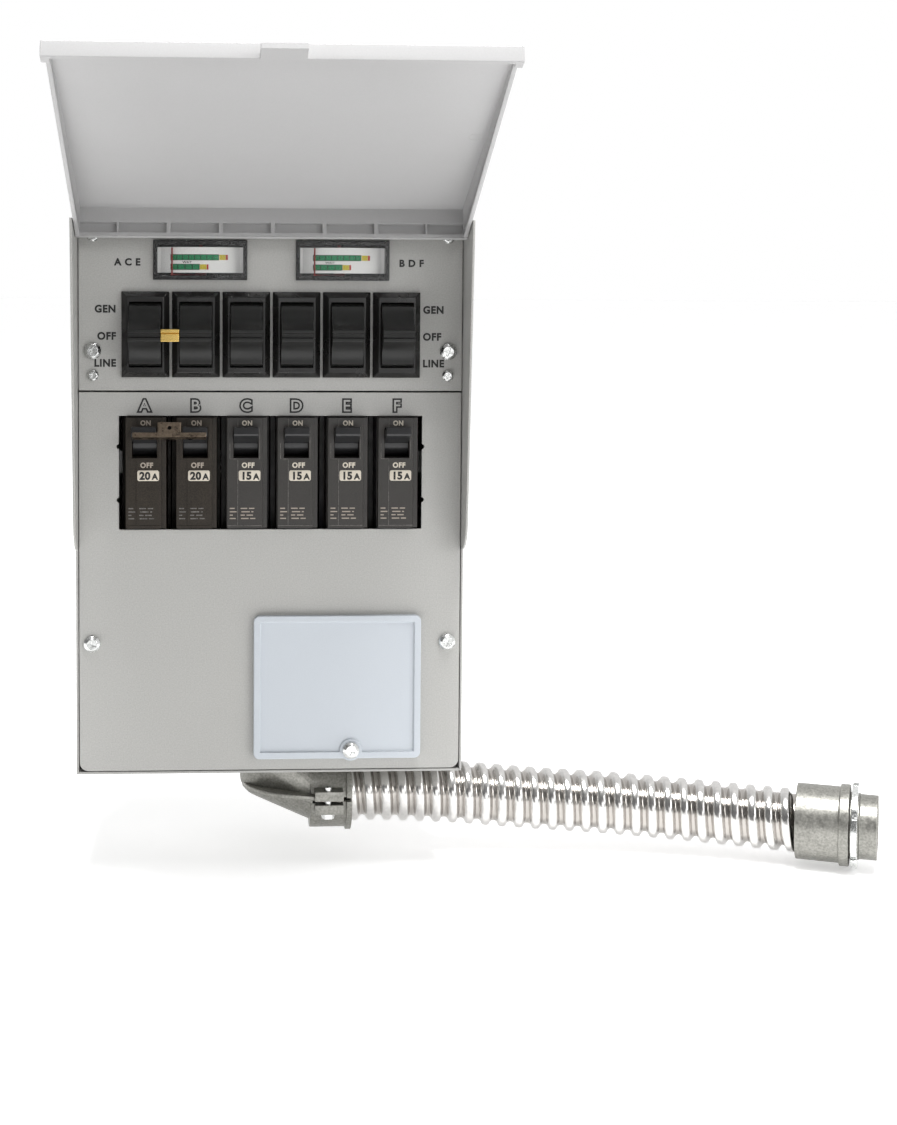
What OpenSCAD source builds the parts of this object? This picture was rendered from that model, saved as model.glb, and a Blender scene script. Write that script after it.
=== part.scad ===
// Manual transfer switch: wall cabinet with a flip-up lid, six rocker transfer switches, six branch
// breakers, two edgewise wattmeters and a flexible conduit.
// Frame: X to the right, Y into the wall, Z up. The origin is the centre of the four wall screws,
// on the back plane of the cabinet.

/* [Cabinet] */
// Outer width of the cabinet
cab_w = 196; // [190:1:210]
// Outer height of the cabinet
cab_h = 280; // [276:1:300]
// Depth from the back plane to the front face of the covers
cab_d = 92; // [88:1:100]
// Sheet thickness of the cabinet and covers
sheet = 1.2; // [1:0.1:1.5]
// Gap between a cover and the side walls
cover_gap = 0.4; // [0.3:0.1:0.6]
// How far the side walls stand forward of the covers at the top
shroud_top = 34; // [32:1:36]
// How far they stand forward just above their rounded lower end
shroud_low = 17.5; // [17:0.5:19]
// Height of the seam between the upper panel and the lower cover
seam_z = 54.5; // [54:0.5:55]
// Horizontal spacing of the wall screws
wall_dx = 140; // [120:5:150]
// Vertical spacing of the wall screws
wall_dz = 220; // [200:5:240]
// Diameter of the wall screw holes
wall_hole_d = 7; // [6:0.5:8]

/* [Lid] */
// Angle of the open lid from straight down
lid_open = 110; // [100:1:120]
// Length of the lid from its hinge axis to its free end
lid_l = 167; // [166:1:170]
// Thickness of the lid panel
lid_t = 2.5; // [2:0.1:3]
// Depth of the lid at the hinge end
lid_deep = 17.5; // [17:0.5:18]
// Diameter of the hinge pins
pin_d = 4; // [3.5:0.5:4]

/* [Transfer switches] */
// Pitch of the six rocker switches
switch_pitch = 25.2; // [25:0.1:26]
// Height of the switch row
switch_z = 83.1; // [82:0.1:84]
// Height of a bezel
bezel_h = 43; // [42:1:44]
// Width of a bezel
bezel_w = 23.9; // [23:0.1:24.2]
// Width of a rocker
rocker_w = 16; // [15:0.5:16]

/* [Breakers] */
// Pitch of the six breakers
breaker_pitch = 25.4; // [25.2:0.1:25.6]
// Height of the breakers' handle pivots
handle_z = 28.8; // [28:0.1:29.5]
// Angle of the handles above level when on
handle_on = 18; // [18:1:24]

/* [Meters] */
// Distance of each wattmeter from the middle
meter_x = 35.7; // [34:0.1:38]
// Height of the wattmeters
meter_z = 120.4; // [119:0.1:121]
// Angle of the needles at zero
needle_zero = 27; // [24:1:28]

/* [Conduit] */
// Outer diameter of the flexible conduit
conduit_d = 33; // [32:0.5:34]
// Distance of the conduit elbow from the middle
elbow_x = 8; // [0:1:12]

/* [Hidden] */
$fn = 48;
LETTERS = ["a", "b", "c", "d", "e", "f"];

fit = 0.05;                         // radial clearance of every pivot
eps = 0.01;
front = -cab_d;                     // outer face of the covers
behind = front + sheet;             // inner face of the covers
side = cab_w / 2;
cover_x = side - sheet - cover_gap;
top = cab_h / 2;
bottom = -top;
shroud_low_z = -8;                  // where the side walls' rounded end starts
roof_front = front - 4.5;

// lid: s runs from the hinge axis to the free end, t from the outer face inwards
lid_axis_y = front - 19.6;
lid_axis_z = top - 3.9;
lid_axis_t = 13.75;                 // distance of the hinge axis from the lid's outer face
lid_back_s = -5.5;
lid_skirt = 2;                      // thickness of the skirts
lid_end_deep = 7;
lid_skirt_end = 4.8;                // skirt depth near the free end
lid_corner_s = lid_l - 6;           // where the full-width end starts
beam_s = -2.2;                       // inner face of the hinge beam
pocket_t = [10.2, 15.7];
pocket_pitch = 25.5;
tab_w = 19.2;
tab_l = 9;

// screws: head diameter, shank radius
big_head = 8.5;
small_head = 6;
shank_r = 2;
tab_t = 1.5;                        // tabs that take the cover screws
upper_screws = [[-89.3, 74.7], [89.3, 74.7]];
lower_screws = [[-89.9, -73.2], [89.9, -73.2]];
corner_screws = [[-89.2, 132], [89.2, 132], [-89.2, 62.5], [89.2, 62.5]];
right_screws = [for (at = concat(upper_screws, lower_screws, corner_screws)) if (at[0] > 0) at];

// rocker switches
bezel_t = 5;
rocker_open = [16.4, 32.4];
rocker_y = front - 1;               // pivot of the rockers
ridge_y = 16.5;                     // ridge height above the pivot
housing_back = front + 36;

// breakers
case_w = 25;
case_z = [-24.5, 51.5];
case_y = [-88.5, -36];
shoulder_y = -68;                    // where a breaker widens to its full width
window_x = 76.4;
window_z = [-15.2, 42.2];
nose_y = -94.5;
recess = [12.5, 15.2];
handle_y = -84;                     // pivot of the handles
lever_l = 21.5;
lever_w = 12.3;
lever_root = 2.7;                   // half thickness of a lever at its drum
drum_r = 7.2;
trunnion_r = 1.5;

// inlet opening cover
inlet = [33.9, -95.6];
inlet_size = [84.9, 73.3];
inlet_screw = [40.9, -127.8];

// meters
meter_case = [44.5, 17.5];
dial_r = 30;
dial_axis_y = -64.5;

// conduit
elbow_y = front / 2;
elbow_z = bottom - 22;
thread_r = 16.6;
conduit_r = conduit_d / 2;
barrel_end_x = elbow_x + 36;
clamp_dx = 23;
end_collar_r = 17;                  // run-out of the far end's thread, under its locknut
wire_mid_y = -23.5;                 // between the black and the red leads
ROUTE = [
    [24, -46, -162], [60, -46, -162], [100, -46, -164], [140, -48, -167],
    [180, -52, -169], [220, -59, -171], [258, -71, -172], [278, -79, -172], [298, -87, -172]];

function x_at(i, pitch) = (i - 2.5) * pitch;

// ---------- shared shapes ----------
module box(x, y, z) {
    translate([x[0], y[0], z[0]]) cube([x[1] - x[0], y[1] - y[0], z[1] - z[0]]);
}

// cylinder along +Y from y0 to y1
module rod_y(at, r, y0, y1) {
    translate([at[0], y0, at[1]]) rotate([-90, 0, 0]) cylinder(r = r, h = y1 - y0);
}

// cylinder along +X from x0 to x1
module rod_x(at, r, x0, x1) {
    translate([x0, at[0], at[1]]) rotate([0, 90, 0]) cylinder(r = r, h = x1 - x0);
}

// outline in the (Y, Z) plane extruded along X from x0 to x1
module along_x(x0, x1) {
    translate([x0, 0, 0]) rotate([90, 0, 90]) linear_extrude(x1 - x0) children();
}

// outline in the (X, Z) plane extruded along Y from y0 to y1
module along_y(y0, y1) {
    translate([0, y1, 0]) rotate([90, 0, 0]) linear_extrude(y1 - y0) children();
}

module round_rect(w, h, r) {
    square([w - 2 * r, h], center = true);
    square([w, h - 2 * r], center = true);
    for (x = [-1, 1], y = [-1, 1])
        translate([x * (w / 2 - r), y * (h / 2 - r)]) circle(r);
}

// pan-head screw along Y with a cross recess, under-head face at y
module screw(at, head_d, y, length) {
    head_h = head_d * 0.32;
    difference() {
        union() {
            rod_y(at, head_d / 2, y - head_h * 0.45, y);
            translate([at[0], y - head_h * 0.45, at[1]]) rotate([90, 0, 0])
                cylinder(r1 = head_d / 2, r2 = head_d * 0.32, h = head_h * 0.55);
            rod_y(at, shank_r, y - eps, y + length);
        }
        for (a = [0, 90])
            translate([at[0], y - head_h, at[1]]) rotate([0, a + 20, 0])
                cube([head_d * 0.5, head_h * 0.5, head_d * 0.1], center = true);
    }
}

// tube of radius r swept along points, as one closed polyhedron
function unit(v) = v / norm(v);
function tangent(p, i) =
    unit(p[min(i + 1, len(p) - 1)] - p[max(i - 1, 0)]);
function side_axis(t) = unit(cross(t, abs(t[2]) > 0.9 ? [0, 1, 0] : [0, 0, 1]));
function ring(p, i, r, n) =
    let (t = tangent(p, i), u = side_axis(t), v = cross(t, u))
    [for (k = [0 : n - 1]) p[i] + r * (cos(360 * k / n) * u + sin(360 * k / n) * v)];
module tube(p, r, n = 8) {
    m = len(p);
    points = [for (i = [0 : m - 1]) each ring(p, i, r, n)];
    sides = [for (i = [0 : m - 2], k = [0 : n - 1])
        [i * n + k, i * n + (k + 1) % n, (i + 1) * n + (k + 1) % n, (i + 1) * n + k]];
    ends = [[for (k = [0 : n - 1]) n - 1 - k], [for (k = [0 : n - 1]) (m - 1) * n + k]];
    polyhedron(points, concat(sides, ends));
}

// Catmull-Rom curve through the points, with several steps in each span
function spline_at(p, i, u) =
    let (a = p[max(i - 1, 0)], b = p[i], c = p[i + 1], d = p[min(i + 2, len(p) - 1)])
    0.5 * (2 * b + (c - a) * u + (2 * a - 5 * b + 4 * c - d) * u * u
        + (3 * b - a - 3 * c + d) * u * u * u);
function spline(p, steps) = concat(
    [for (i = [0 : len(p) - 2], k = [0 : steps - 1]) spline_at(p, i, k / steps)],
    [p[len(p) - 1]]);

// ---------- cabinet ----------
module side_outline() {
    polygon([[0, bottom], [0, top], [front - shroud_top, top],
        [front - shroud_low, shroud_low_z], [front, shroud_low_z], [front, bottom]]);
    intersection() {
        translate([front, shroud_low_z]) circle(shroud_low);
        translate([front - 2 * shroud_low, shroud_low_z - 2 * shroud_low])
            square([2 * shroud_low + 2, 2 * shroud_low + eps]);
    }
}

// tab on the right side wall that takes a cover screw at height z
module screw_tab(x, z) {
    box([x - 7, side - sheet], [behind, behind + tab_t], [z - 6, z + 6]);
}

// back, floor and roof of the cabinet, folded from one sheet
module cabinet() {
    inside = side - sheet;
    color([0.66, 0.655, 0.63]) difference() {
        union() {
            box([-inside, inside], [-sheet, 0], [bottom, top]);
            box([-inside, inside], [front, 0], [bottom, bottom + sheet]);
            box([-inside, inside], [roof_front, 0], [top - sheet, top]);
            box([-inside, inside], [roof_front, roof_front + sheet], [top - 4.5, top - sheet]);
        }
        for (x = [-1, 1], z = [-1, 1])
            rod_y([x * wall_dx / 2, z * wall_dz / 2], wall_hole_d / 2, -3, 2);
        translate([elbow_x, elbow_y, bottom - 1]) cylinder(r = thread_r + 0.4, h = sheet + 2);
    }
}

// right side wall; the left one is its mirror image, with its own screw places
module cabinet_side(screws) {
    color([0.66, 0.655, 0.63]) difference() {
        union() {
            along_x(side - sheet, side) side_outline();
            for (at = screws) screw_tab(at[0], at[1]);
        }
        for (at = screws) rod_y(at, shank_r + fit, front - 1, behind + 3);
        rod_x([lid_axis_y, lid_axis_z], pin_d / 2 + fit, cover_x, side + 1);
    }
}

module upper_panel() {
    color([0.64, 0.635, 0.61]) difference() {
        box([-cover_x, cover_x], [front, behind], [seam_z + 0.4, top - sheet - cover_gap]);
        for (i = [0 : 5]) {
            x = x_at(i, switch_pitch);
            box([x - 11, x + 11], [front - 1, behind + 1], [switch_z - 19.8, switch_z + 19.8]);
        }
        for (x = [-meter_x, meter_x])
            box([x - meter_case[0] / 2 - 0.1, x + meter_case[0] / 2 + 0.1],
                [front - 1, behind + 1],
                [meter_z - meter_case[1] / 2 - 0.1, meter_z + meter_case[1] / 2 + 0.1]);
        for (at = concat(upper_screws, corner_screws))
            rod_y(at, shank_r + fit, front - 1, behind + 1);
    }
}

module lower_outline() {
    r = 4.5;
    low = bottom + sheet + cover_gap;
    difference() {
        union() {
            translate([-cover_x, low + r])
                square([2 * cover_x, seam_z - 0.4 - low - r]);
            translate([-cover_x + r, low]) square([2 * cover_x - 2 * r, r + 1]);
            for (x = [-1, 1]) translate([x * (cover_x - r), low + r]) circle(r);
        }
        translate([-window_x, window_z[0]])
            square([2 * window_x, window_z[1] - window_z[0]]);
        for (x = [-window_x, window_x], z = [26.7, -0.4]) translate([x, z]) circle(1.2);
        translate(inlet) square([inlet_size[0] - 14, inlet_size[1] - 26], center = true);
    }
}

module lower_cover() {
    color([0.67, 0.665, 0.64]) difference() {
        along_y(front, behind) lower_outline();
        for (at = lower_screws) rod_y(at, shank_r + fit, front - 1, behind + 1);
        rod_y(inlet_screw, shank_r + fit, front - 1, behind + 1);
    }
}

// ---------- lid ----------
module lid_place(angle) {
    translate([0, lid_axis_y, lid_axis_z]) rotate([-angle, 0, 0])
        translate([0, -lid_axis_t, 0]) children();
}

// block given by its x, t and s ranges in the lid's own frame
module lid_box(x, t, s) {
    box(x, t, [-s[1], -s[0]]);
}

module lid_skirt_outline() {
    polygon([[0, -lid_back_s], [lid_deep, -lid_back_s], [lid_skirt_end, -lid_corner_s],
        [0, -lid_corner_s]]);
}

module lid() {
    color([0.71, 0.705, 0.7]) lid_place(lid_open) difference() {
        union() {
            lid_box([-cover_x, cover_x], [0, lid_t], [lid_back_s, lid_l - 1]);
            for (x = [-cover_x, cover_x - lid_skirt])
                along_x(x, x + lid_skirt) lid_skirt_outline();
            lid_box([-cover_x, cover_x], [0, lid_deep], [lid_back_s, beam_s]);
            lid_box([-side, side], [0, lid_end_deep], [lid_l - 2.5, lid_l]);
            for (x = [-side, side - 3.6])
                lid_box([x, x + 3.6], [0, lid_end_deep], [lid_corner_s, lid_l]);
            lid_box([-tab_w / 2, tab_w / 2], [lid_end_deep - 2.4, lid_end_deep],
                [lid_l - 1, lid_l + tab_l]);
        }
        for (k = [-3.5 : 1 : 3.5]) {
            outer = abs(k) > 3;
            half = outer ? 9 : pocket_pitch / 2 - 1;
            mid = outer ? sign(k) * (cover_x - lid_skirt - half) : k * pocket_pitch;
            lid_box([mid - half, mid + half], pocket_t, [lid_back_s + 0.8, beam_s + 1]);
        }
        rod_x([lid_axis_t, 0], pin_d / 2 + fit, -side - 1, -cover_x + lid_skirt + eps);
        rod_x([lid_axis_t, 0], pin_d / 2 + fit, cover_x - lid_skirt - eps, side + 1);
    }
}

module hinge_pins() {
    color([0.75, 0.75, 0.76]) for (m = [0, 1]) mirror([m, 0, 0]) {
        at = [lid_axis_y, lid_axis_z];
        rod_x(at, pin_d / 2, cover_x - lid_skirt + 0.2, side + eps);
        rod_x(at, pin_d / 2 + 1.2, side, side + 0.8);
    }
}

// ---------- inlet opening cover ----------
module inlet_cover() {
    rim = 3.4;
    color([0.78, 0.80, 0.84]) difference() {
        union() {
            along_y(front - 2.2, front) translate(inlet)
                round_rect(inlet_size[0], inlet_size[1], 3);
            along_y(front - 3.6, front - 2.2 + eps) translate(inlet) difference() {
                round_rect(inlet_size[0], inlet_size[1], 3);
                square([inlet_size[0] - 2 * rim, inlet_size[1] - 2 * rim], center = true);
            }
            rod_y(inlet_screw, 5.6, front - 3.6, front - 2);
        }
        rod_y(inlet_screw, shank_r + fit, front - 5, front + 1);
    }
}

module inlet_cover_screw() {
    color([0.8, 0.8, 0.8]) screw(inlet_screw, big_head, front - 3.6, 9);
}

module lower_cover_screws() {
    color([0.8, 0.8, 0.8]) for (at = lower_screws) screw(at, big_head, front, 8);
}

module upper_panel_screws() {
    color([0.8, 0.8, 0.8]) for (at = upper_screws) screw(at, big_head, front, 8);
}

module panel_corner_screws() {
    color([0.8, 0.8, 0.8]) for (at = corner_screws) screw(at, small_head, front, 6);
}

// ---------- rocker switches ----------
module switch_housing(i) {
    x = x_at(i, switch_pitch);
    bevel = 2.6;
    color([0.09, 0.09, 0.1]) translate([x, 0, switch_z]) difference() {
        union() {
            hull() {
                box([-bezel_w / 2, bezel_w / 2], [front - 1.6, front],
                    [-bezel_h / 2, bezel_h / 2]);
                box([-bezel_w / 2 + bevel, bezel_w / 2 - bevel],
                    [front - bezel_t, front], [-bezel_h / 2 + bevel, bezel_h / 2 - bevel]);
            }
            box([-10.9, 10.9], [front - eps, housing_back], [-19.7, 19.7]);
        }
        box([-rocker_open[0] / 2, rocker_open[0] / 2], [front - bezel_t - 1, front + 22],
            [-rocker_open[1] / 2, rocker_open[1] / 2]);
        box([-rocker_open[0] / 2, rocker_open[0] / 2], [front, front + 22], [-18, 18]);
        rod_x([rocker_y, 0], trunnion_r + fit, -9.7, 9.7);
    }
}

// half outline of a rocker: end face on an arc about the pivot, then a hollow up to the ridge
function rocker_half(s) = concat(
    [for (a = [-24 : 8 : 24]) [16 * sin(a) * -1, s * 16 * cos(a)]],
    [for (u = [0 : 0.125 : 1])
        let (z = 14.4 - u * 11.6) [-(7.6 + 8.9 * pow(u, 2.4)), s * z]]);
module rocker_outline() {
    up = rocker_half(1);
    down = rocker_half(-1);
    n = len(up);
    ribs = [[-ridge_y, 1.2], [-ridge_y + 1.1, 1.0], [-ridge_y + 1.1, -1.0], [-ridge_y, -1.2]];
    polygon(concat(up, ribs, [for (i = [n - 1 : -1 : 0]) down[i]], [[12, -6], [12, 6]]));
}

module rocker(i) {
    color([0.07, 0.07, 0.08]) translate([x_at(i, switch_pitch), rocker_y, switch_z]) {
        along_x(-rocker_w / 2, rocker_w / 2) rocker_outline();
        rod_x([0, 0], trunnion_r, -9.5, 9.5);
    }
}

module rocker_tie() {
    gap = switch_pitch - rocker_w;
    x = x_at(0.5, switch_pitch);
    color([0.8, 0.62, 0.2]) difference() {
        box([x - gap / 2, x + gap / 2], [rocker_y - ridge_y - 0.6, rocker_y - ridge_y + 5],
            [switch_z - 3.1, switch_z + 3.1]);
        box([x - gap, x + gap], [rocker_y - ridge_y - 1, rocker_y - ridge_y - 0.3],
            [switch_z + 0.9, switch_z + 1.3]);
    }
}

module switch_terminals() {
    color([0.78, 0.66, 0.3]) for (i = [0 : 5], z = [-12, 0, 12])
        translate([x_at(i, switch_pitch), housing_back, switch_z + z]) difference() {
            box([-3.2, 3.2], [0, 9], [-0.4, 0.4]);
            translate([0, 6, -1]) cylinder(r = 0.9, h = 2);
        }
}

// ---------- breakers ----------
module breaker_case(i) {
    x = x_at(i, breaker_pitch);
    half = case_w / 2;
    color([0.13, 0.125, 0.12]) translate([x, 0, 0]) difference() {
        union() {
            box([-half, half], [shoulder_y, case_y[1]], case_z);
            box([-9.8, 10.8], [case_y[0], shoulder_y + eps], case_z);
            box([-9.4, 8.4], [nose_y, case_y[0] + eps], [window_z[0] + 0.8, window_z[1] - 0.8]);
            box([8.4 - eps, 10.8], [nose_y + 2.2, case_y[0] + eps],
                [window_z[0] + 0.8, window_z[1] - 0.8]);
        }
        box([-recess[0] / 2, recess[0] / 2], [nose_y - 1, handle_y + 8],
            [handle_z - recess[1] / 2, handle_z + recess[1] / 2]);
        rod_x([handle_y, handle_z], trunnion_r + fit, -7.7, 7.7);
        // load terminal bore and its screw well at the lower end
        translate([0, -66, case_z[0] - 1]) cylinder(r = 3.2, h = 14);
        rod_y([0, case_z[0] + 6], 2.6, case_y[0] - 1, -60);
        // clip slot at the back
        box([-half - 1, half + 1], [case_y[1] - 5, case_y[1] + 1], [8, 20]);
    }
}

module handle_place() {
    translate([0, handle_y, handle_z]) rotate([-handle_on, 0, 0]) children();
}

module breaker_handle(i) {
    color([0.06, 0.06, 0.06]) translate([x_at(i, breaker_pitch), 0, 0]) handle_place() {
        rod_x([0, 0], drum_r, -lever_w / 2, lever_w / 2);
        along_x(-lever_w / 2, lever_w / 2)
            polygon([[-5, -lever_root], [-lever_l + 0.8, -2.2], [-lever_l, -1.5],
                [-lever_l, 1.8], [-lever_l + 0.8, 2.5], [-5, lever_root]]);
        rod_x([0, 0], trunnion_r, -7.5, 7.5);
    }
}

module handle_tie() {
    x = x_at(0.5, breaker_pitch);
    half = breaker_pitch / 2 + 5.6;
    color([0.33, 0.27, 0.2]) translate([x, 0, 0]) handle_place() difference() {
        union() {
            box([-half, half], [-lever_l - 1, -lever_l], [-3.2, -0.8]);
            box([-half, half], [-lever_l - eps, -lever_l + 5], [-3.2, -2.4]);
            box([-5.8, 5.8], [-lever_l - 1, -lever_l], [-3.2, 4.4]);
        }
        rod_y([0, 1.6], 1, -lever_l - 4, -lever_l + 1);
    }
}

// rail that carries the breakers by the slots in their backs
module breaker_rail() {
    x = 2.5 * breaker_pitch + case_w / 2;
    color([0.75, 0.75, 0.74]) {
        box([-x, x], [case_y[1] - 5, case_y[1] - 3.6], [8.2, 19.8]);
        for (s = [-1, 1]) translate([s * (x + 6), 0, 0]) {
            box([-6, 6], [case_y[1] - 5, case_y[1] - 3.6], [8.2, 19.8]);
            box([-6, 6], [case_y[1] - 3.6, -sheet], [8.2, 9.6]);
        }
    }
}

module breaker_lugs() {
    color([0.8, 0.8, 0.8]) for (i = [0 : 5])
        rod_y([x_at(i, breaker_pitch), case_z[0] + 6], 2.4, case_y[0] + 3, -62);
}

// ---------- meters ----------
module meter_case(x) {
    w = meter_case[0] / 2;
    h = meter_case[1] / 2;
    wall = 0.8;
    color([0.12, 0.12, 0.12]) translate([x, 0, meter_z]) difference() {
        union() {
            box([-w, w], [front, dial_axis_y + 6], [-h, h]);
            box([-23.5, 23.5], [front - 1.2, front], [-10, 10]);
        }
        box([-w + wall, w - wall], [front - 2, dial_axis_y + 5], [-h + wall, h - wall]);
        translate([0, dial_axis_y, -h - 1]) cylinder(r = 0.8 + fit, h = 2 * h + 2);
    }
}

module meter_cover(x) {
    color([0.85, 0.88, 0.9, 0.4]) translate([x, 0, meter_z]) difference() {
        box([-23.1, 23.1], [front - 7, front - 1.2], [-9.7, 9.7]);
        box([-22.1, 22.1], [front - 6, front - 1], [-8.7, 8.7]);
    }
}

module meter_dial(x) {
    edge = 42;
    w = meter_case[0] / 2 - 0.8;
    color([0.93, 0.93, 0.9]) translate([x, dial_axis_y, meter_z]) intersection() {
        difference() {
            translate([0, 0, -6.4]) cylinder(r = dial_r, h = 12.8, $fn = 96);
            translate([0, 0, -7]) cylinder(r = dial_r - 1, h = 14, $fn = 96);
        }
        box([-dial_r * sin(edge), dial_r * sin(edge)], [-dial_r - 1, 0], [-8, 8]);
    }
    // brackets from the dial's ends to the case walls
    color([0.93, 0.93, 0.9]) translate([x, dial_axis_y, meter_z]) for (s = [-1, 1])
        box([s > 0 ? dial_r * sin(edge) - 0.6 : -w, s > 0 ? w : -dial_r * sin(edge) + 0.6],
            [-dial_r * cos(edge) - 0.2, -dial_r * cos(edge) + 1.4], [-6.4, 6.4]);
}

module meter_needle(x) {
    color([0.8, 0.1, 0.08]) translate([x, dial_axis_y, meter_z]) rotate([0, 0, -needle_zero]) {
        translate([0, 0, -8.6]) cylinder(r = 0.8, h = 17.2);
        difference() {
            translate([0, 0, -7.7]) cylinder(r = 3, h = 3);
            translate([0, 0, -9]) cylinder(r = 0.8, h = 5);
        }
        box([-0.5, 0.5], [-31.4, -2.5], [-7.7, -6.9]);
        box([-0.35, 0.35], [-31.4, -30.8], [-7.7, 6.2]);
    }
}

module meter_terminals() {
    color([0.8, 0.68, 0.35]) for (x = [-meter_x, meter_x], s = [-1, 1])
        translate([x + s * 12, dial_axis_y + 6, meter_z]) rotate([-90, 0, 0]) {
            cylinder(r = 1.6, h = 9);
            cylinder(r = 4, h = 2.4, $fn = 6);
        }
}

// ---------- inner wiring ----------
module neutral_bar() {
    color([0.72, 0.73, 0.74]) difference() {
        box([-50, 30], [-16, -8], [-72, -62]);
        for (k = [0 : 7]) translate([-45 + k * 10, -12, -73]) cylinder(r = 2, h = 12);
    }
    color([0.2, 0.2, 0.2]) for (x = [-44, 24]) box([x - 5, x + 5], [-8, -sheet], [-71, -63]);
}

module ground_lug() {
    color([0.3, 0.6, 0.35]) difference() {
        box([70, 84], [-12, -sheet], [-116, -104]);
        translate([77, -7, -117]) cylinder(r = 3, h = 14);
    }
}

// one lead from each switch terminal at height z down past the breakers to the elbow
module wires_from(z, y, dx) {
    for (i = [0 : 5]) {
        x = x_at(i, switch_pitch);
        end_x = elbow_x + (i - 2.5) * 3.4 + dx;
        tube(spline([[x + dx, housing_back + 9.5, switch_z + z], [x + dx, y, switch_z + z - 8],
            [x + dx, y, 40], [x * 0.9 + dx, y, -20],
            [x * 0.4 + elbow_x * 0.6 + dx, y, -90],
            [end_x, elbow_y + (y - wire_mid_y) * 1.2, bottom + 14]], 3), 1.4);
    }
}

module wires_black() {
    color([0.08, 0.08, 0.08]) wires_from(12, wire_mid_y - 2.5, -1.6);
}

module wires_red() {
    color([0.7, 0.1, 0.1]) wires_from(-12, wire_mid_y + 2.5, 1.6);
}

// ---------- conduit ----------
module conduit_elbow() {
    body_r = 19.4;
    color([0.62, 0.63, 0.64]) difference() {
        union() {
            translate([elbow_x, elbow_y, bottom]) cylinder(r = thread_r, h = 12);
            translate([elbow_x, elbow_y, bottom - 4]) cylinder(r = 21, h = 4);
            hull() {
                translate([elbow_x - 4, elbow_y, bottom - 6]) cylinder(r = 19, h = 3, $fn = 32);
                translate([elbow_x - 11, elbow_y, elbow_z + 9]) sphere(r = 12, $fn = 32);
                translate([elbow_x + 12, elbow_y, elbow_z + 2]) sphere(r = 15, $fn = 32);
                rod_x([elbow_y, elbow_z + 1], 17, elbow_x + 16, elbow_x + 22);
            }
            // ledge along the joint of the two halves of the casting
            hull() {
                translate([elbow_x - 9, elbow_y, elbow_z + 3]) cylinder(r = 12.5, h = 2.4);
                box([elbow_x + 18, elbow_x + 26], [elbow_y - 24, elbow_y + 24],
                    [elbow_z - 1.4, elbow_z + 1]);
            }
            rod_x([elbow_y, elbow_z], body_r, elbow_x + 14, barrel_end_x);
            rod_x([elbow_y, elbow_z], body_r + 1.4, barrel_end_x - 3, barrel_end_x);
            box([elbow_x + 16, barrel_end_x - 5], [elbow_y - 27, elbow_y - 12],
                [elbow_z - 6, elbow_z + 6]);
        }
        translate([elbow_x, elbow_y, elbow_z + 12]) cylinder(r = 13, h = 60);
        hull() {
            translate([elbow_x, elbow_y, elbow_z + 14]) cylinder(r = 12, h = 2);
            translate([elbow_x, elbow_y, elbow_z + 8]) sphere(r = 11);
        }
        hull() {
            translate([elbow_x, elbow_y, elbow_z + 8]) sphere(r = 11);
            rod_x([elbow_y, elbow_z], 12.4, elbow_x + 13, elbow_x + 17);
        }
        rod_x([elbow_y, elbow_z], conduit_r + 0.3, elbow_x + 15.8, barrel_end_x + 1);
        box([elbow_x + 15, barrel_end_x + 1], [elbow_y - 40, elbow_y - 10],
            [elbow_z - 1, elbow_z + 1]);
        translate([elbow_x + clamp_dx, elbow_y - 23.5, elbow_z - 8])
            cylinder(r = shank_r + fit, h = 16);
    }
}
module elbow_clamp_screw() {
    color([0.78, 0.78, 0.76])
        translate([elbow_x + clamp_dx, elbow_y - 23.5, elbow_z - 6]) difference() {
            union() {
                translate([0, 0, -2.6]) cylinder(r = 3.6, h = 2.6, $fn = 6);
                cylinder(r = shank_r, h = 14);
            }
            translate([-4, -0.5, -3]) cube([8, 1, 1.2]);
        }
}

// ring with six driving notches, flat on z = 0
module locknut_shape(inner_r) {
    difference() {
        cylinder(r = inner_r + 5, h = 3.2);
        translate([0, 0, -1]) cylinder(r = inner_r + fit, h = 6);
        for (a = [0 : 60 : 300]) rotate([0, 0, a])
            translate([inner_r + 5.4, 0, 1.6]) cube([4, 5, 6], center = true);
    }
}

module elbow_locknut() {
    color([0.72, 0.72, 0.7]) translate([elbow_x, elbow_y, bottom + sheet])
        locknut_shape(thread_r);
}

module conduit() {
    color([0.78, 0.79, 0.8]) tube(spline(ROUTE, 3), conduit_r, 12);
}

// frame at the far end of the conduit, with +Z along it
module at_conduit_end() {
    end = ROUTE[len(ROUTE) - 1];
    path = spline(ROUTE, 3);
    t = tangent(path, len(path) - 1);
    translate(end) rotate([0, acos(t[2]), atan2(t[1], t[0])]) children();
}

module conduit_end_fitting() {
    color([0.62, 0.63, 0.64]) at_conduit_end() difference() {
        union() {
            translate([0, 0, -22]) cylinder(r = 19.6, h = 24);
            cylinder(r = 21, h = 5);
            cylinder(r = end_collar_r, h = 10);
            translate([0, 0, 10 - eps]) cylinder(r = thread_r, h = 9 + eps);
        }
        translate([0, 0, -23]) cylinder(r = conduit_r + 0.8, h = 23);
        translate([0, 0, -1]) cylinder(r = 13, h = 22);
    }
}

module conduit_end_locknut() {
    color([0.72, 0.72, 0.7]) at_conduit_end() translate([0, 0, 6]) locknut_shape(end_collar_r);
}

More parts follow.
